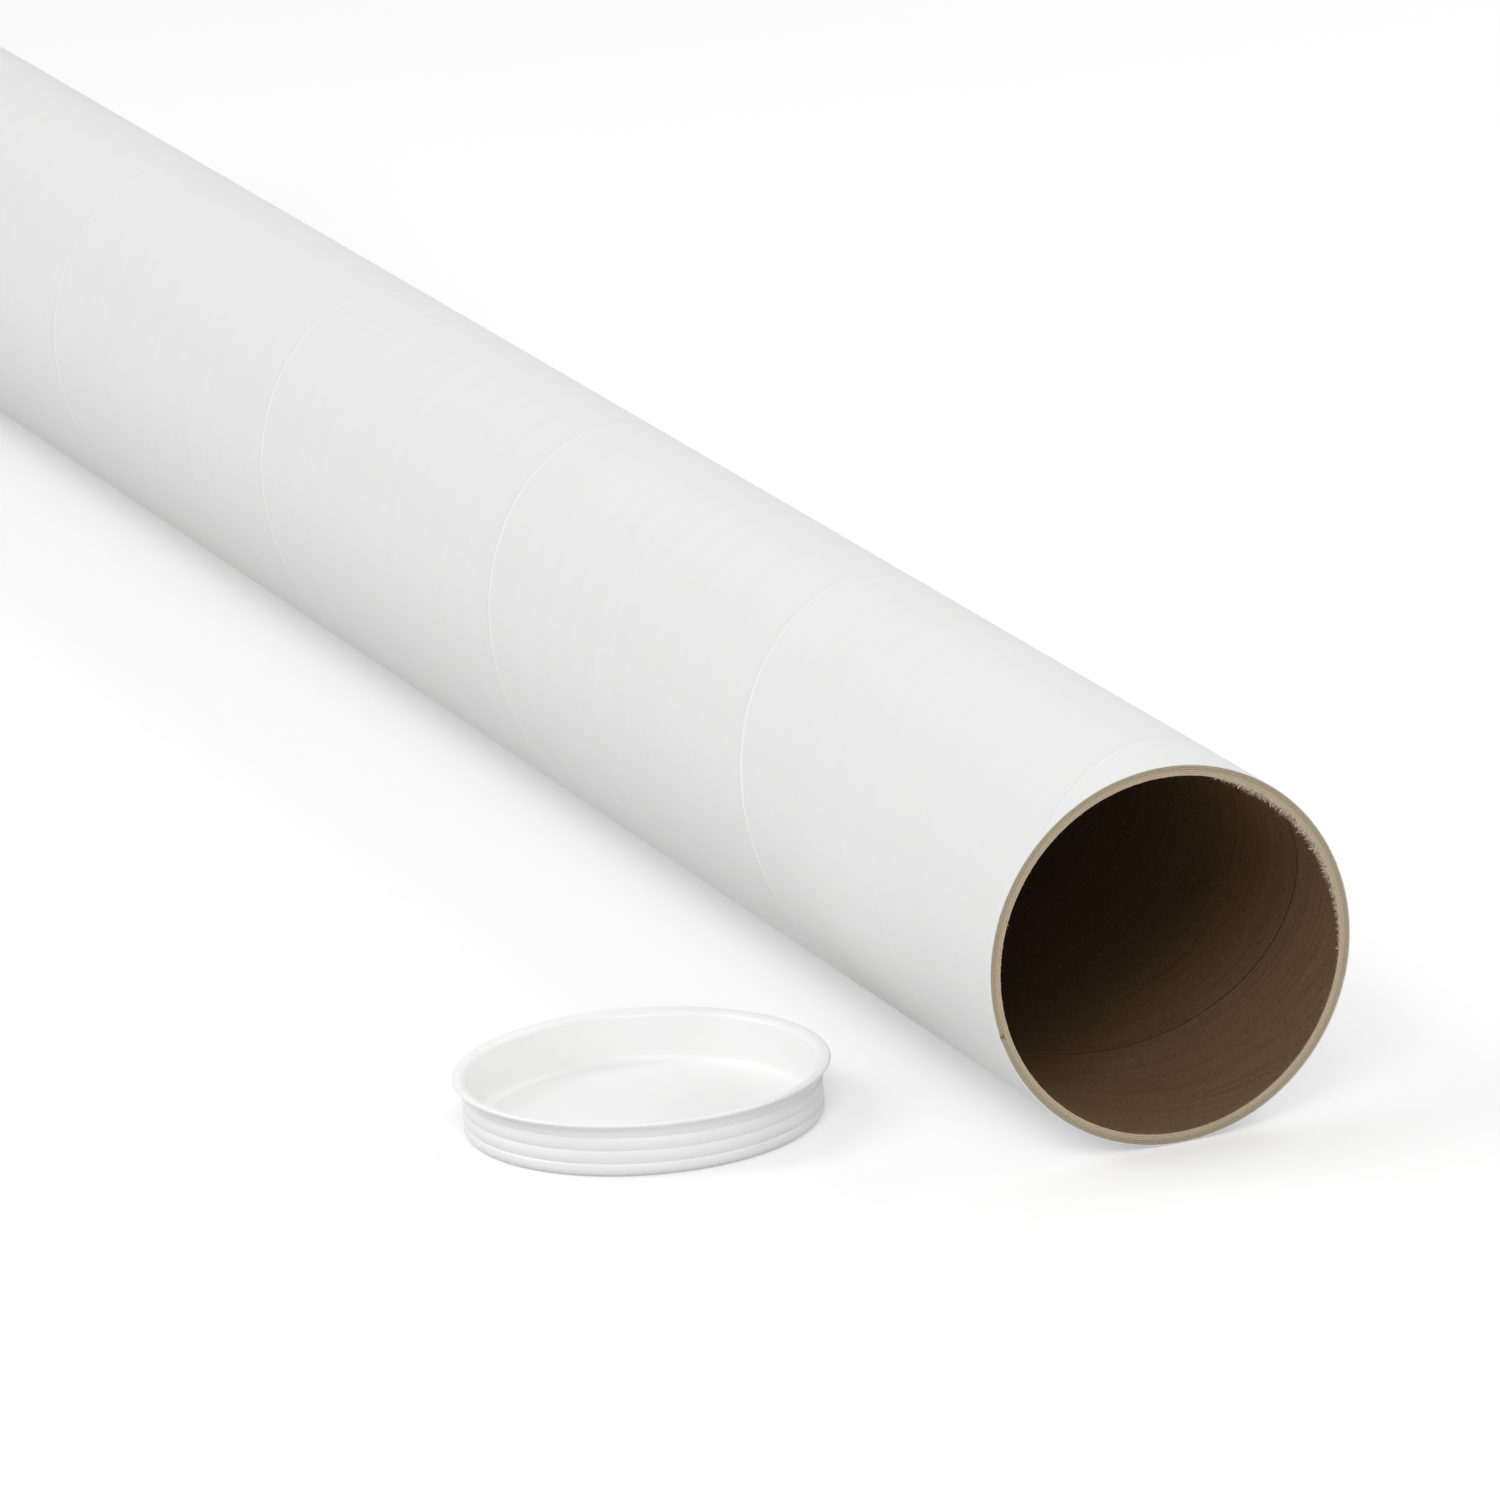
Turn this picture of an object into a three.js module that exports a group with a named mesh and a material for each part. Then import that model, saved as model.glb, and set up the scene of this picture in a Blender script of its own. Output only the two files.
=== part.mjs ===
// A white mailing tube, spiral wound from board, lying on its side.
// One plug cap is fitted in the far end, and its twin lies beside the open end.
// Millimetres, +Z up, the tube along X with its open end at +X.
// The origin is on the ground, under the middle of the whole set.
import * as THREE from 'three';

// Tube
const boreDiameter = 101.6;
const boardWall = 2.8;
const glueLine = 0.05; // between the board and its white facing
const outerPlyThickness = 0.325;
const tubeLength = 1219.2;

// Plug cap
const capClearance = 0.3; // between the bands and the bore, all round
const capBandCount = 4;
const capBandPitch = 3.75;
const capGrooveDepth = 0.5;
const capWall = 0.9; // from the bottom of a groove to the inside
const capFloor = 1.2;
const capDraft = 0.8; // how much narrower the inside is at its foot than at its mouth
const capOuterCorner = 2.2;
const capInnerCorner = 3.0;
const lipThickness = 1.1;
const lipSeat = 2.2; // how far the lip reaches over the end of the tube wall
const lipFlare = 1.6; // depth of the flared mouth inside the lip
const lipSeatGap = 0.3; // between the fitted cap's lip and the end of the wall

// Where the loose cap lies: its axis, back from the open end and out from the tube's side
const looseCapSetback = 100;
const looseCapSideGap = 12;

// How finely round shapes are divided
const roundSegments = 96;
const bandSteps = 4; // even, so that each crest is met
const cornerSteps = 4;

const boreRadius = boreDiameter / 2;
const boardRadius = boreRadius + boardWall;
const plyInnerRadius = boardRadius + glueLine;
const tubeRadius = plyInnerRadius + outerPlyThickness;
const bandRadius = boreRadius - capClearance;
const grooveRadius = bandRadius - capGrooveDepth;
const lipRadius = boreRadius + lipSeat;
const lipUnderside = capBandCount * capBandPitch;
const capHeight = lipUnderside + lipThickness;

const whitePaper = { color: 0xe9e8e5, roughness: 0.75, metalness: 0 };
const brownBoard = { color: 0xa39480, roughness: 0.9, metalness: 0 };
const whitePlastic = { color: 0xf2f2f0, roughness: 0.35, metalness: 0 };

// Points of a circular arc from one angle to another, in degrees, both ends included.
function arc(centreR, centreZ, radius, startAngle, endAngle, steps) {
  const points = [];
  for (let i = 0; i <= steps; i += 1) {
    const angle = THREE.MathUtils.degToRad(startAngle + ((endAngle - startAngle) * i) / steps);
    points.push(new THREE.Vector2(centreR + radius * Math.cos(angle), centreZ + radius * Math.sin(angle)));
  }
  return points;
}

// The upper half of the lowest band, from the top of the rounded corner up to the first groove.
function lowestBandTop() {
  const points = [];
  for (let i = 1; i <= bandSteps / 2; i += 1) {
    const share = (2 * i) / bandSteps;
    const radius = grooveRadius + capGrooveDepth * Math.cos((Math.PI / 2) * share);
    points.push(new THREE.Vector2(radius, capOuterCorner + share * (capBandPitch - capOuterCorner)));
  }
  return points;
}

// One convex band of the cap's outer wall, from the groove below it up to the next one.
function band(index) {
  const points = [];
  for (let i = 1; i <= bandSteps; i += 1) {
    const share = i / bandSteps;
    const radius = grooveRadius + capGrooveDepth * Math.sin(Math.PI * share);
    points.push(new THREE.Vector2(radius, (index + share) * capBandPitch));
  }
  return points;
}

// The cap's section, from the middle of its underside, round its outside and lip, to the middle of its floor.
function capSection() {
  const mouthRadius = grooveRadius - capWall;
  const footRadius = mouthRadius - capDraft;
  const lipEdge = lipThickness / 2;
  const points = [new THREE.Vector2(0, 0)];
  points.push(...arc(bandRadius - capOuterCorner, capOuterCorner, capOuterCorner, -90, 0, cornerSteps));
  points.push(...lowestBandTop());
  for (let index = 1; index < capBandCount; index += 1) {
    points.push(...band(index));
  }
  points.push(...arc(lipRadius - lipEdge, lipUnderside + lipEdge, lipEdge, -90, 90, cornerSteps));
  points.push(...arc(mouthRadius + lipFlare, capHeight - lipFlare, lipFlare, 90, 180, cornerSteps));
  points.push(...arc(footRadius - capInnerCorner, capFloor + capInnerCorner, capInnerCorner, 0, -90, cornerSteps));
  points.push(new THREE.Vector2(0, capFloor));
  return points;
}

// A plain round wall between two radii, square cut at both ends.
function wallSection(innerRadius, outerRadius, length) {
  return [
    new THREE.Vector2(innerRadius, 0),
    new THREE.Vector2(outerRadius, 0),
    new THREE.Vector2(outerRadius, length),
    new THREE.Vector2(innerRadius, length),
    new THREE.Vector2(innerRadius, 0),
  ];
}

function turned(name, section, material) {
  const mesh = new THREE.Mesh(
    new THREE.LatheGeometry(section, roundSegments),
    new THREE.MeshStandardMaterial(material),
  );
  mesh.name = name;
  return mesh;
}

// The tube's walls: turned about Y, then laid along X with the open end at x = 0.
function tubeWall(name, innerRadius, outerRadius, material) {
  const wall = turned(name, wallSection(innerRadius, outerRadius, tubeLength), material);
  wall.rotation.z = -Math.PI / 2;
  wall.position.set(-tubeLength, 0, tubeRadius);
  return wall;
}

// The cap in the far end, its floor inwards and its lip against the end of the wall.
function fittedCap() {
  const cap = turned('fitted_cap', capSection(), whitePlastic);
  cap.rotation.z = Math.PI / 2;
  cap.position.set(lipUnderside - lipSeatGap - tubeLength, 0, tubeRadius);
  return cap;
}

// The cap that was taken off, standing on its underside with its mouth up.
const looseCapY = -(tubeRadius + looseCapSideGap + lipRadius);

function looseCap() {
  const cap = turned('loose_cap', capSection(), whitePlastic);
  cap.rotation.x = Math.PI / 2;
  cap.position.set(-looseCapSetback, looseCapY, 0);
  return cap;
}

// The whole set's extents along X and Y, which give the place of its middle.
const nearX = 0;
const farX = -(tubeLength + lipSeatGap + lipThickness);
const leftY = looseCapY - lipRadius;
const rightY = tubeRadius;

const group = new THREE.Group();
group.position.set(-(nearX + farX) / 2, -(leftY + rightY) / 2, 0);
group.add(tubeWall('board_tube', boreRadius, boardRadius, brownBoard));
group.add(tubeWall('white_outer_ply', plyInnerRadius, tubeRadius, whitePaper));
group.add(fittedCap());
group.add(looseCap());

export default group;
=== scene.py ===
import math
import random

import bmesh
import bpy
from mathutils import Euler, Matrix, Vector, noise


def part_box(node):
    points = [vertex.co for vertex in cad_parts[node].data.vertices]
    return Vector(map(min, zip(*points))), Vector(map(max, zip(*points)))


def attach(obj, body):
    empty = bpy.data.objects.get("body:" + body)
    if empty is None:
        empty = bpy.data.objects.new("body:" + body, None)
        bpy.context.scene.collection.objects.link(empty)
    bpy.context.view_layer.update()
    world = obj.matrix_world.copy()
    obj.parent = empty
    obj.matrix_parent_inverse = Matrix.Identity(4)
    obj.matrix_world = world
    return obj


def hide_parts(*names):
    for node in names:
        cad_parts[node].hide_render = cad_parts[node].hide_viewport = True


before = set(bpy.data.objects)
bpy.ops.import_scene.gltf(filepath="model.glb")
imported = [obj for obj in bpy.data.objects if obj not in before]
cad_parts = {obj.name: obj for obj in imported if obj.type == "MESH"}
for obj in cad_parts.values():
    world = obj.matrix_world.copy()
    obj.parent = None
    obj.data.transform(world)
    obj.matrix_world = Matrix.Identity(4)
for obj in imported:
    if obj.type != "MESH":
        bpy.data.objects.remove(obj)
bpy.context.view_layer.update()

# A white spiral-wound mailing tube with its near end open, a plug cap in its far end,
# and the cap that was taken off the near end. Metres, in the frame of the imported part.

MM = 0.001

# Tube: what the frame gives
ply_low, ply_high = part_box("white_outer_ply")
board_low, board_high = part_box("board_tube")
TUBE_RADIUS = (ply_high.z - ply_low.z) / 2
TUBE_LENGTH = ply_high.x - ply_low.x
BOARD_RADIUS = (board_high.z - board_low.z) / 2
OPEN_END = Vector((ply_high.x, (ply_low.y + ply_high.y) / 2, (ply_low.z + ply_high.z) / 2))

# Tube: what the frame doesn't say
BOARD_WALL = 2.8 * MM
GLUE_LINE = 0.05 * MM
BORE_RADIUS = BOARD_RADIUS - BOARD_WALL
PLY_INNER_RADIUS = BOARD_RADIUS + GLUE_LINE

# Winding: a right-handed helix, measured from the open end, theta from +Y towards +Z
WINDING_PITCH = 200.2 * MM
OUTER_SEAM_PLACE = -72.7 * MM
UNDER_SEAM_OFFSET = 97.2 * MM
BORE_SEAM_PLACE = -31.0 * MM
BORE_UNDER_SEAM_OFFSET = 118.0 * MM
BOARD_PLIES = 5

# How finely the tube is divided
AROUND = 192
FINE_RATIO = 4
AROUND_FINE = AROUND * FINE_RATIO
COARSE_START = -9 * MM
FINE_START = -5 * MM

# The cut edge of the bore: where it is torn, and how quickly that sets in and ends.
# The knock in the outer edge. In degrees from +Y towards +Z.
TORN_FROM = -12.0
TORN_TO = 74.0
TORN_RISE = 30.0
TORN_FALL = 16.0
NICK_ANGLE = 196.0
NICK_WIDTH = 0.9

# Caps
CAP_BAND_COUNT = 4
CAP_BAND_PITCH = 3.75 * MM
CAP_BAND_RADIUS = 50.5 * MM
CAP_GROOVE_DEPTH = 0.5 * MM
CAP_WALL = 0.9 * MM
CAP_FLOOR = 1.2 * MM
CAP_DRAFT = 0.8 * MM
CAP_OUTER_CORNER = 2.2 * MM
CAP_INNER_CORNER = 3.0 * MM
CAP_LIP_THICKNESS = 1.1 * MM
CAP_LIP_FLARE = 1.9 * MM
CAP_AROUND = 256
CAP_FLAT_SHARES = (0, 0.25, 0.5, 0.75, 0.9, 0.97)
CAP_CORNER_STEPS = 8
CAP_LOWEST_BAND_STEPS = 6
CAP_BAND_STEPS = 12
CAP_LIP_STEPS = 10
CAP_FLARE_STEPS = 12
CAP_FLOOR_CORNER_STEPS = 10
CAP_BAND_SHARPNESS = 0.8
LOOSE_CAP_WARP = 0.12 * MM

# Edges that turn by more than this many degrees are drawn hard
CREASE = 35.0

# Camera: a long lens, placed from the middle of the open end
CAMERA_AZIMUTH = 68.734
CAMERA_ELEVATION = 16.425
CAMERA_ROLL = -3.578
CAMERA_FROM_OPEN_END = Vector((2.8363, -1.2234, 0.9760))
CAMERA_LENS = 284.2
CAMERA_SENSOR = 36.0

# Lamps: name, place, target, size, power
LAMPS = (
    ("side_high", (-0.45, -1.9, 1.9), (-0.25, 0.0, 0.05), 1.6, 25.0),
    ("front_high", (2.4, -0.9, 2.0), (0.4, 0.0, 0.05), 1.2, 22.5),
    ("front_low", (3.6, -0.5, 0.55), (0.5, -0.03, 0.04), 0.8, 8.0),
    ("back_high", (0.0, 1.8, 1.8), (0.2, 0.0, 0.05), 1.6, 16.0),
    ("glint", (1.1, 1.35, 1.7), (0.5, -0.06, 0.0), 0.25, 1.2),
)


# Camera, floor and light


def make_camera():
    azimuth, elevation = math.radians(CAMERA_AZIMUTH), math.radians(CAMERA_ELEVATION)
    back = Vector((
        math.sin(azimuth) * math.cos(elevation),
        -math.cos(azimuth) * math.cos(elevation),
        math.sin(elevation),
    ))
    level = Vector((math.cos(azimuth), math.sin(azimuth), 0))
    turn = Matrix.Rotation(math.radians(CAMERA_ROLL), 3, back)
    right = turn @ level
    up = back.cross(right)
    data = bpy.data.cameras.new("camera")
    data.lens = CAMERA_LENS
    data.sensor_width = CAMERA_SENSOR
    data.clip_start = 0.05
    data.clip_end = 60
    camera = bpy.data.objects.new("camera", data)
    place = Matrix((right, up, back)).transposed().to_4x4()
    place.translation = OPEN_END + CAMERA_FROM_OPEN_END
    camera.matrix_world = place
    bpy.context.scene.collection.objects.link(camera)
    bpy.context.scene.camera = camera


def sees_backdrop(nodes, links):
    """1 where a camera, glossy or transmission ray arrives, and 0 for the light on the object."""
    path = nodes.new("ShaderNodeLightPath")
    total = None
    for ray in ("Is Camera Ray", "Is Glossy Ray", "Is Transmission Ray"):
        if total is None:
            total = path.outputs[ray]
            continue
        most = nodes.new("ShaderNodeMath")
        most.operation = "MAXIMUM"
        links.new(total, most.inputs[0])
        links.new(path.outputs[ray], most.inputs[1])
        total = most.outputs[0]
    return total


def make_floor(size=16.0, colour=0.7, drop=0.08 * MM, lift=0.38, far_lift=0.8, near=1.0, far=3.5):
    """A pale floor that keeps the shadow.

    lift is how much of the white backdrop the eye sees in it. It grows to far_lift between near and far.
    """
    mesh = bpy.data.meshes.new("floor")
    half = size / 2
    corners = [(-half, -half, 0), (half, -half, 0), (half, half, 0), (-half, half, 0)]
    mesh.from_pydata(corners, [], [(0, 1, 2, 3)])
    floor = bpy.data.objects.new("floor", mesh)
    floor.location.z = -drop
    bpy.context.scene.collection.objects.link(floor)
    material = bpy.data.materials.new("pale_floor")
    material.use_nodes = True
    nodes, links = material.node_tree.nodes, material.node_tree.links
    nodes.clear()
    diffuse = nodes.new("ShaderNodeBsdfDiffuse")
    diffuse.inputs["Color"].default_value = (colour, colour, colour, 1)
    glow = nodes.new("ShaderNodeEmission")
    strength = nodes.new("ShaderNodeMath")
    strength.operation = "MULTIPLY"
    links.new(sees_backdrop(nodes, links), strength.inputs[0])
    place = nodes.new("ShaderNodeTexCoord")
    distance = nodes.new("ShaderNodeVectorMath")
    distance.operation = "LENGTH"
    links.new(place.outputs["Object"], distance.inputs[0])
    growth = nodes.new("ShaderNodeMapRange")
    growth.interpolation_type = "SMOOTHSTEP"
    for name, value in (("From Min", near), ("From Max", far), ("To Min", lift), ("To Max", far_lift)):
        growth.inputs[name].default_value = value
    links.new(distance.outputs["Value"], growth.inputs["Value"])
    links.new(growth.outputs["Result"], strength.inputs[1])
    links.new(strength.outputs[0], glow.inputs["Strength"])
    both = nodes.new("ShaderNodeAddShader")
    links.new(diffuse.outputs[0], both.inputs[0])
    links.new(glow.outputs[0], both.inputs[1])
    output = nodes.new("ShaderNodeOutputMaterial")
    links.new(both.outputs[0], output.inputs["Surface"])
    mesh.materials.append(material)


def make_world(ambient=0.42):
    world = bpy.data.worlds.new("studio")
    bpy.context.scene.world = world
    world.use_nodes = True
    nodes, links = world.node_tree.nodes, world.node_tree.links
    nodes.clear()
    light = nodes.new("ShaderNodeBackground")
    light.inputs["Strength"].default_value = ambient
    light.inputs["Color"].default_value = (1, 1, 1, 1)
    white = nodes.new("ShaderNodeBackground")
    white.inputs["Strength"].default_value = 1.0
    white.inputs["Color"].default_value = (1, 1, 1, 1)
    mix = nodes.new("ShaderNodeMixShader")
    links.new(sees_backdrop(nodes, links), mix.inputs[0])
    links.new(light.outputs[0], mix.inputs[1])
    links.new(white.outputs[0], mix.inputs[2])
    output = nodes.new("ShaderNodeOutputWorld")
    links.new(mix.outputs[0], output.inputs["Surface"])


def make_lamp(name, place, target, size, power):
    data = bpy.data.lights.new(name, "AREA")
    data.shape = "SQUARE"
    data.size = size
    data.energy = power
    lamp = bpy.data.objects.new(name, data)
    lamp.location = place
    aim = Vector(target) - Vector(place)
    lamp.rotation_euler = aim.to_track_quat("-Z", "Y").to_euler()
    bpy.context.scene.collection.objects.link(lamp)


# Materials


class Graph:
    """A material's node tree, with short calls for the nodes used here."""

    def __init__(self, name):
        self.material = bpy.data.materials.new(name)
        self.material.use_nodes = True
        self.nodes = self.material.node_tree.nodes
        self.links = self.material.node_tree.links
        self.shader = self.nodes["Principled BSDF"]

    def feed(self, value, socket):
        if isinstance(value, bpy.types.NodeSocket):
            self.links.new(value, socket)
        else:
            socket.default_value = value

    def math(self, operation, a, b=0.0):
        node = self.nodes.new("ShaderNodeMath")
        node.operation = operation
        for value, socket in zip((a, b), node.inputs):
            self.feed(value, socket)
        return node.outputs[0]

    def axes(self):
        place = self.nodes.new("ShaderNodeTexCoord")
        split = self.nodes.new("ShaderNodeSeparateXYZ")
        self.links.new(place.outputs["Object"], split.inputs[0])
        return split.outputs[0], split.outputs[1], split.outputs[2]

    def vector(self, x, y, z):
        node = self.nodes.new("ShaderNodeCombineXYZ")
        for value, socket in zip((x, y, z), node.inputs):
            self.feed(value, socket)
        return node.outputs[0]

    def noise(self, vector, scale, detail=3.0, rough=0.5):
        node = self.nodes.new("ShaderNodeTexNoise")
        self.feed(vector, node.inputs["Vector"])
        node.inputs["Scale"].default_value = scale
        node.inputs["Detail"].default_value = detail
        node.inputs["Roughness"].default_value = rough
        return node.outputs["Fac"]

    def ramp(self, value, low, high, from_value=0.0, to_value=1.0):
        """value between low and high, as a smooth step between two values."""
        node = self.nodes.new("ShaderNodeMapRange")
        node.interpolation_type = "SMOOTHSTEP"
        for part, name in (
            (value, "Value"), (low, "From Min"), (high, "From Max"),
            (from_value, "To Min"), (to_value, "To Max"),
        ):
            self.feed(part, node.inputs[name])
        return node.outputs["Result"]

    def mix(self, share, a, b):
        node = self.nodes.new("ShaderNodeMix")
        node.data_type = "RGBA"
        self.feed(share, node.inputs["Factor"])
        for value, socket in ((a, node.inputs[6]), (b, node.inputs[7])):
            self.feed(value if isinstance(value, bpy.types.NodeSocket) else (*value, 1), socket)
        return node.outputs[2]

    def bump(self, height, distance, under=None):
        node = self.nodes.new("ShaderNodeBump")
        node.inputs["Distance"].default_value = distance
        self.feed(height, node.inputs["Height"])
        if under is not None:
            self.links.new(under, node.inputs["Normal"])
        return node.outputs["Normal"]

    def unwound(self):
        """x, and y and z turned back by the winding, so that a helix is a straight line along x."""
        x, y, z = self.axes()
        angle = self.math("MULTIPLY", x, 2 * math.pi / WINDING_PITCH)
        cos, sin = self.math("COSINE", angle), self.math("SINE", angle)
        turned_y = self.math("ADD", self.math("MULTIPLY", y, cos), self.math("MULTIPLY", z, sin))
        turned_z = self.math("SUBTRACT", self.math("MULTIPLY", z, cos), self.math("MULTIPLY", y, sin))
        return x, turned_y, turned_z

    def seam(self, unwound, place, width):
        """1 on the helical seam that meets the open end's plane at place, and 0 beyond width from it."""
        x, y, z = unwound
        angle = -2 * math.pi * place / WINDING_PITCH
        along = Vector((math.cos(angle), math.sin(angle)))
        near_side = self.math("ADD", self.math("MULTIPLY", y, along.x), self.math("MULTIPLY", z, along.y))
        off = self.math("SUBTRACT", self.math("MULTIPLY", z, along.x), self.math("MULTIPLY", y, along.y))
        line = self.ramp(self.math("ABSOLUTE", off), width, width * 0.3)
        return self.math("MULTIPLY", line, self.math("GREATER_THAN", near_side, 0.0))


def white_paper():
    g = Graph("white_paper")
    x, y, z = unwound = g.unwound()
    streak_place = g.vector(g.math("MULTIPLY", x, 25), g.math("MULTIPLY", y, 900), g.math("MULTIPLY", z, 900))
    streaks = g.noise(streak_place, 1.0, detail=4.0, rough=0.6)
    cloud_place = g.vector(g.math("MULTIPLY", x, 9), g.math("MULTIPLY", y, 70), g.math("MULTIPLY", z, 70))
    clouds = g.noise(cloud_place, 1.0, detail=2.0)
    along, row_y, row_z = g.axes()
    place = g.vector(along, row_y, row_z)
    grain = g.noise(place, 2600, detail=2.0, rough=0.7)
    base = g.mix(g.ramp(clouds, 0.2, 0.8), (0.853, 0.853, 0.849), (0.868, 0.868, 0.866))
    base = g.mix(g.ramp(streaks, 0.3, 0.8, 0.0, 0.35), base, (0.82, 0.82, 0.814))
    outer = g.seam(unwound, OUTER_SEAM_PLACE, 1.3 * MM)
    painted_shadow_line = g.seam(unwound, OUTER_SEAM_PLACE - 1.5 * MM, 1.1 * MM)
    under = g.seam(unwound, OUTER_SEAM_PLACE + UNDER_SEAM_OFFSET, 1.6 * MM)
    # The seam is a painted highlight, a light line, with a painted shadow, a darker line, beside it. The
    # painted highlight comes and goes at random, and is painted stronger low down.
    painted_highlight_strength = g.ramp(g.noise(place, 20, detail=2.0), 0.36, 0.6, 0.4, 1.0)
    painted_highlight_strength = g.math("MULTIPLY", painted_highlight_strength, g.ramp(row_z, -20 * MM, 30 * MM, 1.0, 0.5))
    base = g.mix(g.math("MULTIPLY", painted_shadow_line, 0.25), base, (0.72, 0.72, 0.71))
    base = g.mix(g.math("MULTIPLY", outer, painted_highlight_strength), base, (0.975, 0.975, 0.975))
    # The seam one ply down: a faint painted highlight along its rise.
    base = g.mix(g.math("MULTIPLY", under, g.math("MULTIPLY", painted_highlight_strength, 0.3)), base, (0.93, 0.93, 0.93))
    g.feed(base, g.shader.inputs["Base Color"])
    g.feed(g.ramp(streaks, 0.2, 0.8, 0.56, 0.68), g.shader.inputs["Roughness"])
    g.shader.inputs["Specular IOR Level"].default_value = 0.35
    fine = g.bump(grain, 0.012 * MM)
    g.feed(g.bump(streaks, 0.02 * MM, fine), g.shader.inputs["Normal"])
    return g.material


def brown_board():
    g = Graph("brown_board")
    x, y, z = unwound = g.unwound()
    along, row_y, row_z = g.axes()
    place = g.vector(along, row_y, row_z)
    fibres = g.noise(place, 1500, detail=4.0, rough=0.7)
    streak_place = g.vector(g.math("MULTIPLY", x, 40), g.math("MULTIPLY", y, 420), g.math("MULTIPLY", z, 420))
    streaks = g.noise(streak_place, 1.0, detail=4.0, rough=0.65)
    # The bore: a kraft lining, darker than the cut end partly as painted shade for the tube's dark inside,
    # with the winding's streaks and seam, and a few flecks
    flecks = g.noise(place, 700, detail=1.0)
    bore = g.mix(g.ramp(fibres, 0.3, 0.7), (0.200, 0.122, 0.063), (0.300, 0.196, 0.108))
    bore = g.mix(g.ramp(streaks, 0.4, 0.8, 0.0, 0.5), bore, (0.125, 0.076, 0.042))
    bore = g.mix(g.ramp(flecks, 0.68, 0.78, 0.0, 0.6), bore, (0.06, 0.04, 0.025))
    seam = g.seam(unwound, BORE_SEAM_PLACE, 1.2 * MM)
    bore = g.mix(g.math("MULTIPLY", seam, 0.7), bore, (0.05, 0.035, 0.022))
    # The cut end: olive outer plies, paler inner plies, and a dark line of glue between one ply and the next
    radius = g.math("SQRT", g.math("ADD", g.math("MULTIPLY", row_y, row_y), g.math("MULTIPLY", row_z, row_z)))
    depth = g.math("DIVIDE", g.math("SUBTRACT", radius, BORE_RADIUS), BOARD_WALL / BOARD_PLIES)
    wobble = g.math("MULTIPLY", g.math("SUBTRACT", g.noise(place, 60, detail=2.0), 0.5), 0.5)
    level = g.math("ADD", depth, wobble)
    from_middle = g.math("ABSOLUTE", g.math("SUBTRACT", g.math("FRACT", level), 0.5))
    glue = g.ramp(from_middle, 0.3, 0.49)
    outer = g.mix(g.ramp(fibres, 0.3, 0.7), (0.430, 0.360, 0.242), (0.545, 0.460, 0.320))
    inner = g.mix(g.ramp(fibres, 0.3, 0.7), (0.535, 0.433, 0.305), (0.670, 0.560, 0.417))
    face = g.mix(g.ramp(level, 2.2, 2.8), inner, outer)
    face = g.mix(g.math("MULTIPLY", glue, 0.5), face, (0.25, 0.205, 0.135))
    on_face = g.math("GREATER_THAN", along, -0.6 * MM)
    g.feed(g.mix(on_face, bore, face), g.shader.inputs["Base Color"])
    g.shader.inputs["Roughness"].default_value = 0.95
    g.shader.inputs["Specular IOR Level"].default_value = 0.05
    g.feed(g.bump(streaks, 0.12 * MM, g.bump(fibres, 0.1 * MM)), g.shader.inputs["Normal"])
    return g.material


def torn_fibre():
    g = Graph("torn_fibre")
    place = g.vector(*g.axes())
    tone = g.noise(place, 900, detail=2.0)
    shade = g.noise(place, 180, detail=2.0)
    base = g.mix(g.ramp(tone, 0.3, 0.7), (0.44, 0.37, 0.27), (0.68, 0.60, 0.47))
    base = g.mix(g.ramp(shade, 0.4, 0.7, 0.0, 0.4), base, (0.40, 0.33, 0.23))
    g.feed(base, g.shader.inputs["Base Color"])
    g.shader.inputs["Roughness"].default_value = 0.9
    g.shader.inputs["Specular IOR Level"].default_value = 0.15
    g.feed(g.bump(tone, 0.05 * MM), g.shader.inputs["Normal"])
    return g.material


def milky_plastic():
    g = Graph("milky_plastic")
    place = g.vector(*g.axes())
    clouds = g.noise(place, 30, detail=1.0)
    base = g.mix(g.ramp(clouds, 0.25, 0.75), (0.930, 0.930, 0.925), (0.955, 0.955, 0.953))
    g.feed(base, g.shader.inputs["Base Color"])
    g.feed(g.ramp(clouds, 0.25, 0.75, 0.29, 0.35), g.shader.inputs["Roughness"])
    g.shader.inputs["IOR"].default_value = 1.5
    g.shader.inputs["Subsurface Weight"].default_value = 0.2
    g.shader.inputs["Subsurface Radius"].default_value = (1.0, 1.0, 1.0)
    g.shader.inputs["Subsurface Scale"].default_value = 1.2 * MM
    return g.material


# Mesh tools


def finish_mesh(bm, name, material):
    bmesh.ops.recalc_face_normals(bm, faces=bm.faces)
    mesh = bpy.data.meshes.new(name)
    bm.to_mesh(mesh)
    bm.free()
    for polygon in mesh.polygons:
        polygon.use_smooth = True
    mesh.set_sharp_from_angle(angle=math.radians(CREASE))
    mesh.materials.append(material)
    piece = bpy.data.objects.new(name, mesh)
    bpy.context.scene.collection.objects.link(piece)
    return piece


def settle(piece, matrix, body, slot, *replaced):
    piece.matrix_world = matrix
    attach(piece, body)
    if replaced:
        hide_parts(*replaced)


def ring(bm, x, radius, count):
    """A circle of points about the tube's axis. x and radius are numbers, or functions of the angle."""
    points = []
    for i in range(count):
        theta = 2 * math.pi * i / count
        here_x = x(theta) if callable(x) else x
        here_r = radius(theta) if callable(radius) else radius
        points.append(bm.verts.new((here_x, here_r * math.cos(theta), here_r * math.sin(theta))))
    return points


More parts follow.
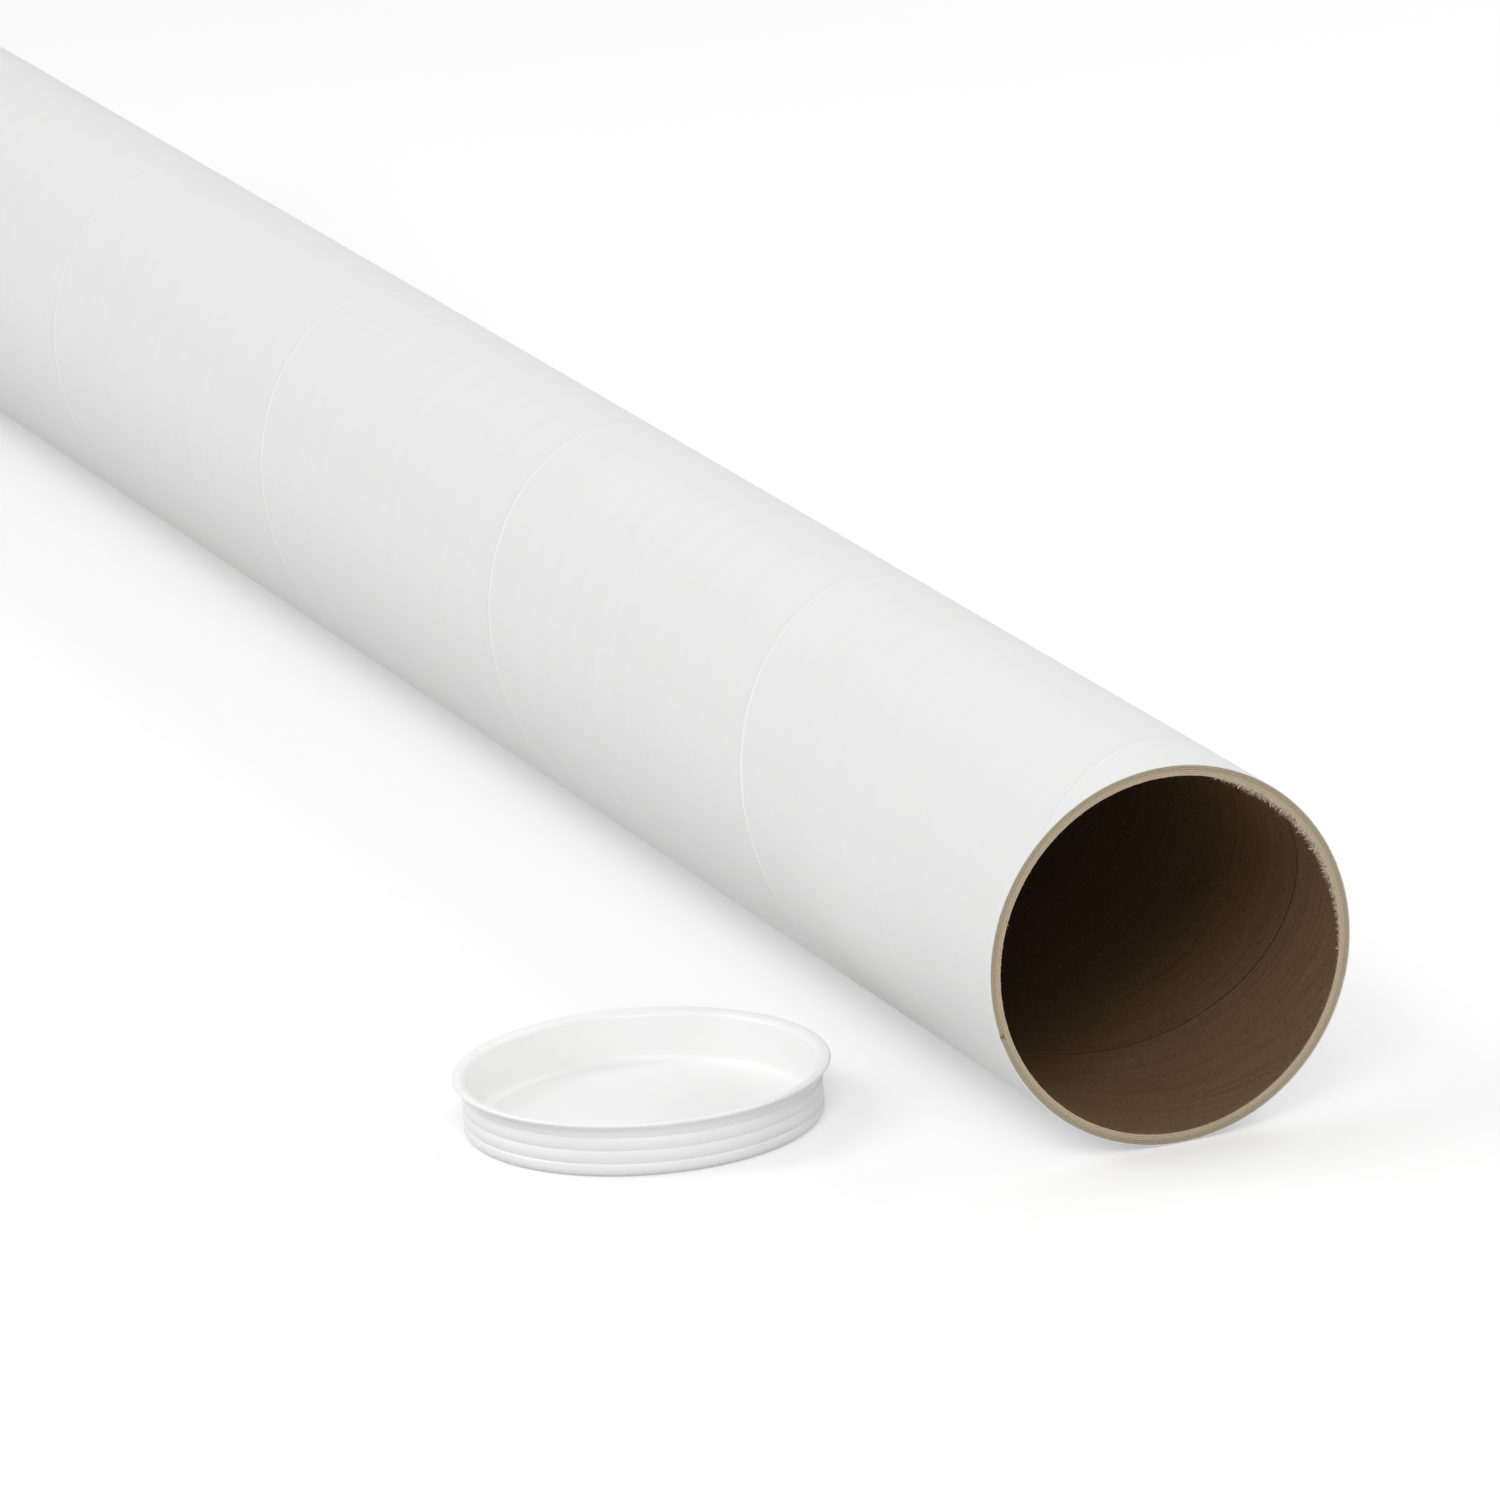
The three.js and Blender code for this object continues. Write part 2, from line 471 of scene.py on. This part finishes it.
def bridge(bm, first, second):
    """Faces between two circles. The second may have a whole number of times more points."""
    ratio = len(second) // len(first)
    count = len(first)
    for i in range(count):
        after = (i + 1) % count
        fine = [second[(i * ratio + k) % len(second)] for k in range(ratio + 1)]
        middle = ratio // 2
        if ratio == 1:
            bm.faces.new((first[i], first[after], fine[1], fine[0]))
            continue
        for k in range(ratio):
            corner = first[i] if k < middle else first[after]
            bm.faces.new((corner, fine[k + 1], fine[k]))
        bm.faces.new((first[i], first[after], fine[middle]))


def helix_skin(bm, low_ring, high_ring, radius, rows):
    """The wound surface between two circles.

    rows are (place along x, height) of one turn's lines, in order.
    """
    x_low, x_high = low_ring[0].co.x, high_ring[0].co.x
    first_turn = math.floor((x_low - rows[0][0]) / WINDING_PITCH) - 2
    last_turn = math.ceil((x_high - rows[0][0]) / WINDING_PITCH) + 1
    lines = [
        (place + turn * WINDING_PITCH, height)
        for turn in range(first_turn, last_turn + 1)
        for place, height in rows
    ]
    grid = []
    for i in range(AROUND):
        theta = 2 * math.pi * i / AROUND
        column = []
        for place, height in lines:
            x = place + WINDING_PITCH * i / AROUND
            if x <= x_low:
                column.append(low_ring[i])
            elif x >= x_high:
                column.append(high_ring[i])
            else:
                r = radius + height
                column.append(bm.verts.new((x, r * math.cos(theta), r * math.sin(theta))))
        grid.append(column)
    per_turn = len(rows)
    for i in range(AROUND):
        last = i == AROUND - 1
        following = grid[0] if last else grid[i + 1]
        step = per_turn if last else 0
        for j in range(len(lines) - 1 - step):
            corners = (grid[i][j], following[j + step], following[j + 1 + step], grid[i][j + 1])
            distinct = list(dict.fromkeys(corners))
            if len(distinct) > 2:
                bm.faces.new(distinct)


def turn_rows(marks, spacing=14 * MM):
    """One turn's lines: each mark's own, and plain ones between.

    A mark is (place, [(offset, height), ...]).
    """
    lines = sorted((place + offset, height) for place, shape in marks for offset, height in shape)
    filled = []
    closing = (lines[0][0] + WINDING_PITCH, 0.0)
    for (x, height), (next_x, _) in zip(lines, lines[1:] + [closing]):
        filled.append((x, height))
        extra = int((next_x - x) / spacing)
        filled += [(x + (next_x - x) * k / (extra + 1), 0.0) for k in range(1, extra + 1)]
    return filled


def butt_joint(sign):
    """The lines across a seam: two lifted edges with a groove between. sign is -1 on the bore."""
    shape = ((-3.0, 0), (-0.9, 0.05), (-0.3, 0.06), (0, -0.1), (0.3, 0.07), (0.9, 0.05), (3.0, 0))
    return [(offset * MM, sign * height * MM) for offset, height in shape]


def covered_joint(sign):
    """The soft rise where a seam lies one ply down."""
    shape = ((-4.0, 0), (-1.2, 0.03), (0, 0.06), (1.2, 0.03), (4.0, 0))
    return [(offset * MM, sign * height * MM) for offset, height in shape]


def rough(theta, scale, seed, octaves=3):
    """Seamless noise round the tube, about -1 to 1."""
    place = Vector((math.cos(theta) * scale, math.sin(theta) * scale, seed))
    return noise.fractal(place, 0.9, 2.1, octaves)


def tornness(theta):
    """How torn the bore's edge is, from 0 to 1, by angle."""
    degrees = (math.degrees(theta) + 180) % 360 - 180
    rise = min(1, max(0, (degrees - TORN_FROM) / TORN_RISE))
    fall = min(1, max(0, (TORN_TO - degrees) / TORN_FALL))
    return rise * fall


def nick(theta):
    """A small knock in the outer edge of the cut end, from 0 to 1, by angle."""
    degrees = (math.degrees(theta) - NICK_ANGLE + 180) % 360 - 180
    return math.exp(-((degrees / NICK_WIDTH) ** 2))


# Tube


def outer_ply():
    """The white paper facing, closed, with its own seam and the one beneath it."""
    bm = bmesh.new()
    far = ring(bm, -TUBE_LENGTH, TUBE_RADIUS, AROUND)
    near = ring(bm, COARSE_START, TUBE_RADIUS, AROUND)
    marks = [
        (OUTER_SEAM_PLACE, butt_joint(1)),
        (OUTER_SEAM_PLACE + UNDER_SEAM_OFFSET, covered_joint(1)),
    ]
    helix_skin(bm, far, near, TUBE_RADIUS, turn_rows(marks))

    def edge_x(theta):
        return (0.08 * rough(theta, 60, 1.3) - 0.5 * nick(theta)) * MM

    def edge_r(theta):
        return TUBE_RADIUS - (0.04 + 0.02 * rough(theta, 40, 7.7) + 0.25 * nick(theta)) * MM

    outer = [
        ring(bm, FINE_START, TUBE_RADIUS, AROUND_FINE),
        ring(bm, -1.2 * MM, TUBE_RADIUS, AROUND_FINE),
        ring(bm, -0.25 * MM, TUBE_RADIUS, AROUND_FINE),
        ring(bm, edge_x, edge_r, AROUND_FINE),
        ring(bm, edge_x, PLY_INNER_RADIUS, AROUND_FINE),
        ring(bm, FINE_START, PLY_INNER_RADIUS, AROUND_FINE),
    ]
    bridge(bm, near, outer[0])
    for first, second in zip(outer, outer[1:]):
        bridge(bm, first, second)
    inner_near = ring(bm, COARSE_START, PLY_INNER_RADIUS, AROUND)
    inner_far = ring(bm, -TUBE_LENGTH, PLY_INNER_RADIUS, AROUND)
    bridge(bm, inner_near, outer[-1])
    bridge(bm, inner_near, inner_far)
    bridge(bm, inner_far, far)
    return bm


def end_face_rings(bm):
    """The cut end of the board, from its outer edge to the bore.

    Each ply has its own edge, with the glue line as a groove below it.
    """
    rings = []
    ply = BOARD_WALL / BOARD_PLIES
    for index in range(BOARD_PLIES):
        top = BOARD_RADIUS - index * ply

        def face_x(theta, index=index):
            fray = 0.07 * rough(theta, 55, 3.1 * index) + 0.04 * rough(theta, 9, index)
            return (fray - 0.7 * nick(theta) * (index < 2)) * MM

        def groove_x(theta, index=index):
            return face_x(theta, index) - 0.12 * MM

        rings.append(ring(bm, face_x, top - 0.08 * ply, AROUND_FINE))
        if index < BOARD_PLIES - 1:
            rings.append(ring(bm, face_x, top - 0.88 * ply, AROUND_FINE))
            rings.append(ring(bm, groove_x, top - 0.98 * ply, AROUND_FINE))

    def torn_r(theta):
        ragged = tornness(theta) * (0.35 + 0.7 * rough(theta, 85, 4.4, 4)) + 0.06 * rough(theta, 60, 9.2)
        return BORE_RADIUS - max(-0.2, ragged) * MM

    def torn_x(theta):
        return (-0.05 + 0.3 * tornness(theta) * rough(theta, 90, 2.7)) * MM

    def lip_r(theta):
        return (torn_r(theta) + BORE_RADIUS) / 2

    rings.append(ring(bm, torn_x, torn_r, AROUND_FINE))
    rings.append(ring(bm, -0.5 * MM, lip_r, AROUND_FINE))
    rings.append(ring(bm, -1.4 * MM, BORE_RADIUS, AROUND_FINE))
    rings.append(ring(bm, FINE_START, BORE_RADIUS, AROUND_FINE))
    return rings


def board_wall():
    """The wound board, closed: its outside under the facing, the cut end and the bore."""
    bm = bmesh.new()
    outer_far = ring(bm, -TUBE_LENGTH, BOARD_RADIUS, AROUND)
    outer_near = ring(bm, COARSE_START, BOARD_RADIUS, AROUND)
    bridge(bm, outer_far, outer_near)
    outer_fine = ring(bm, FINE_START, BOARD_RADIUS, AROUND_FINE)
    bridge(bm, outer_near, outer_fine)
    rings = [outer_fine] + end_face_rings(bm)
    for first, second in zip(rings, rings[1:]):
        bridge(bm, first, second)
    bore_near = ring(bm, COARSE_START, BORE_RADIUS, AROUND)
    bridge(bm, bore_near, rings[-1])
    bore_far = ring(bm, -TUBE_LENGTH, BORE_RADIUS, AROUND)
    marks = [
        (BORE_SEAM_PLACE, butt_joint(-1)),
        (BORE_SEAM_PLACE + BORE_UNDER_SEAM_OFFSET, covered_joint(-1)),
    ]
    helix_skin(bm, bore_far, bore_near, BORE_RADIUS, turn_rows(marks))
    bridge(bm, bore_far, outer_far)
    return bm


def fibre(bm, root, way, length, width, thickness, bend):
    """One fibre or torn shred of paper: a thin four-sided spike that curves.

    Its width lies round the tube.
    """
    side = Vector((0, -root.z, root.y)).normalized()
    side = (side - way * side.dot(way)).normalized()
    other = way.cross(side)
    steps = 4
    loops = []
    for k in range(steps):
        share = k / steps
        middle = root + way * length * share + bend * length * share * share
        taper = 1 - 0.8 * share
        wide, thin = side * width / 2 * taper, other * thickness / 2 * taper
        corners = (middle + wide, middle + thin, middle - wide, middle - thin)
        loops.append([bm.verts.new(corner) for corner in corners])
    tip = bm.verts.new(root + way * length + bend * length)
    for first, second in zip(loops, loops[1:]):
        for i in range(4):
            after = (i + 1) % 4
            bm.faces.new((first[i], first[after], second[after], second[i]))
    bm.faces.new(loops[0])
    for i in range(4):
        bm.faces.new((loops[-1][i], loops[-1][(i + 1) % 4], tip))


def edge_fibres(shred_count=520, fine_count=1300, sparse_count=320):
    """The fuzz on the cut edge of the bore.

    There are shreds and fine fibres where it is torn, and a few fibres elsewhere.
    """
    bm = bmesh.new()
    rng = random.Random(11)
    for index in range(shred_count + fine_count + sparse_count):
        shred = index < shred_count
        torn = index < shred_count + fine_count
        degrees = rng.uniform(TORN_FROM - 6, TORN_TO + 6) if torn else rng.uniform(0, 360)
        theta = math.radians(degrees)
        amount = tornness(theta)
        if torn and amount < rng.random():
            continue
        outwards = Vector((0, math.cos(theta), math.sin(theta)))
        round_way = Vector((0, -math.sin(theta), math.cos(theta)))
        inset = rng.uniform(-0.6 * amount, 0.2) * MM if torn else rng.uniform(0.0, 0.15) * MM
        root = outwards * (BORE_RADIUS + inset) + Vector((rng.uniform(-0.6, 0.02) * MM, 0, 0))
        lean = 0.6 if shred else 1.1
        way = -outwards + round_way * rng.uniform(-lean, lean) + Vector((rng.uniform(-0.3, 0.5), 0, 0))
        bend = round_way * rng.uniform(-0.4, 0.4) + Vector((rng.uniform(-0.4, 0.4), 0, 0))
        if shred:
            longest = 1.0 + 1.5 * rng.random() ** 2
            length, width, thickness = rng.uniform(0.4, longest), rng.uniform(0.25, 0.8), 0.12
        elif torn:
            length, width, thickness = rng.uniform(0.6, 2.2), rng.uniform(0.07, 0.18), 0.07
        else:
            length, width, thickness = rng.uniform(0.2, 0.8), rng.uniform(0.06, 0.16), 0.06
        if torn:
            length *= 0.5 + 0.5 * amount
        fibre(bm, root, way.normalized(), length * MM, width * MM, thickness * MM, bend)
    return bm


# Caps


def arc(centre_r, centre_z, radius, start, end, steps):
    points = []
    for k in range(steps + 1):
        angle = math.radians(start + (end - start) * k / steps)
        points.append((centre_r + radius * math.cos(angle), centre_z + radius * math.sin(angle)))
    return points


def cap_section(lip_radius):
    """(radius, height) round the cap's section.

    It goes from the middle of the underside, up the bands and over the lip, to the middle of the floor.
    """
    groove = CAP_BAND_RADIUS - CAP_GROOVE_DEPTH
    mouth = groove - CAP_WALL
    foot = mouth - CAP_DRAFT
    underside = CAP_BAND_COUNT * CAP_BAND_PITCH
    height = underside + CAP_LIP_THICKNESS
    outer_flat = CAP_BAND_RADIUS - CAP_OUTER_CORNER
    points = [(share * outer_flat, 0.0) for share in CAP_FLAT_SHARES]
    points += arc(outer_flat, CAP_OUTER_CORNER, CAP_OUTER_CORNER, -90, 0, CAP_CORNER_STEPS)
    for k in range(1, CAP_LOWEST_BAND_STEPS + 1):
        share = k / CAP_LOWEST_BAND_STEPS
        drop = CAP_GROOVE_DEPTH * (1 - math.sqrt(max(0, 1 - share ** 2)))
        rise = share * (CAP_BAND_PITCH - CAP_OUTER_CORNER)
        points.append((CAP_BAND_RADIUS - drop, CAP_OUTER_CORNER + rise))
    for index in range(1, CAP_BAND_COUNT):
        for k in range(1, CAP_BAND_STEPS + 1):
            share = k / CAP_BAND_STEPS
            bulge = max(0, math.sin(math.pi * share)) ** CAP_BAND_SHARPNESS
            points.append((groove + CAP_GROOVE_DEPTH * bulge, (index + share) * CAP_BAND_PITCH))
    edge = CAP_LIP_THICKNESS / 2
    points += arc(lip_radius - edge, underside + edge, edge, -90, 90, CAP_LIP_STEPS)
    # The flared mouth: a quarter of an ellipse from the top of the lip down to the wall
    reach = lip_radius - edge - mouth
    for k in range(1, CAP_FLARE_STEPS + 1):
        angle = math.radians(90 + 90 * k / CAP_FLARE_STEPS)
        sunk = CAP_LIP_FLARE * (1 - math.sin(angle))
        points.append((lip_radius - edge + reach * math.cos(angle), height - sunk))
    inner_flat = foot - CAP_INNER_CORNER
    corner_z = CAP_FLOOR + CAP_INNER_CORNER
    points += arc(inner_flat, corner_z, CAP_INNER_CORNER, 0, -90, CAP_FLOOR_CORNER_STEPS)
    points += [(share * inner_flat, CAP_FLOOR) for share in reversed(CAP_FLAT_SHARES)]
    return points


def turned_cap(lip_radius, warp):
    """The cap turned about its own Z. warp is how far the soft mouth is out of round and level."""
    bm = bmesh.new()
    section = cap_section(lip_radius)
    height = max(z for _, z in section)
    loops = []
    for r, z in section:
        if r == 0:
            loops.append([bm.verts.new((0, 0, z))])
            continue
        loop = []
        for i in range(CAP_AROUND):
            phi = 2 * math.pi * i / CAP_AROUND
            softness = warp * (z / height) ** 2
            radius = r + softness * math.cos(2 * phi + 0.7)
            level = z - softness * 0.5 * (1 + math.sin(3 * phi + 0.4))
            loop.append(bm.verts.new((radius * math.cos(phi), radius * math.sin(phi), level)))
        loops.append(loop)
    for first, second in zip(loops, loops[1:]):
        for i in range(CAP_AROUND):
            after = (i + 1) % CAP_AROUND
            corners = [first[i % len(first)], first[after % len(first)]]
            corners += [second[after % len(second)], second[i % len(second)]]
            bm.faces.new(list(dict.fromkeys(corners)))
    return bm


def make_caps(material):
    low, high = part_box("loose_cap")
    lip_radius = (high.x - low.x) / 2
    loose = finish_mesh(turned_cap(lip_radius, LOOSE_CAP_WARP), "cap_lying_open", material)
    middle = (low + high) / 2
    settle(loose, Matrix.Translation((middle.x, middle.y, low.z)), "tube", "cap_plastic", "loose_cap")
    low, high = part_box("fitted_cap")
    fitted = finish_mesh(turned_cap(lip_radius, 0.0), "cap_in_far_end", material)
    turn = Euler((0, math.radians(-90), 0)).to_matrix().to_4x4()
    place = Matrix.Translation((high.x, OPEN_END.y, OPEN_END.z)) @ turn
    settle(fitted, place, "end_cap", "cap_plastic", "fitted_cap")


def make_tube(paper, board, fuzzy):
    place = Matrix.Translation(OPEN_END)
    ply = finish_mesh(outer_ply(), "white_facing", paper)
    settle(ply, place, "tube", "white_paper", "white_outer_ply")
    wall = finish_mesh(board_wall(), "wound_board", board)
    settle(wall, place, "tube", "board", "board_tube")
    fuzz = finish_mesh(edge_fibres(), "cut_edge_fibres", fuzzy)
    settle(fuzz, place, "tube", "board")


make_camera()
make_floor()
make_world()
for lamp_settings in LAMPS:
    make_lamp(*lamp_settings)
make_tube(white_paper(), brown_board(), torn_fibre())
make_caps(milky_plastic())

bpy.context.scene.view_settings.view_transform = "Standard"
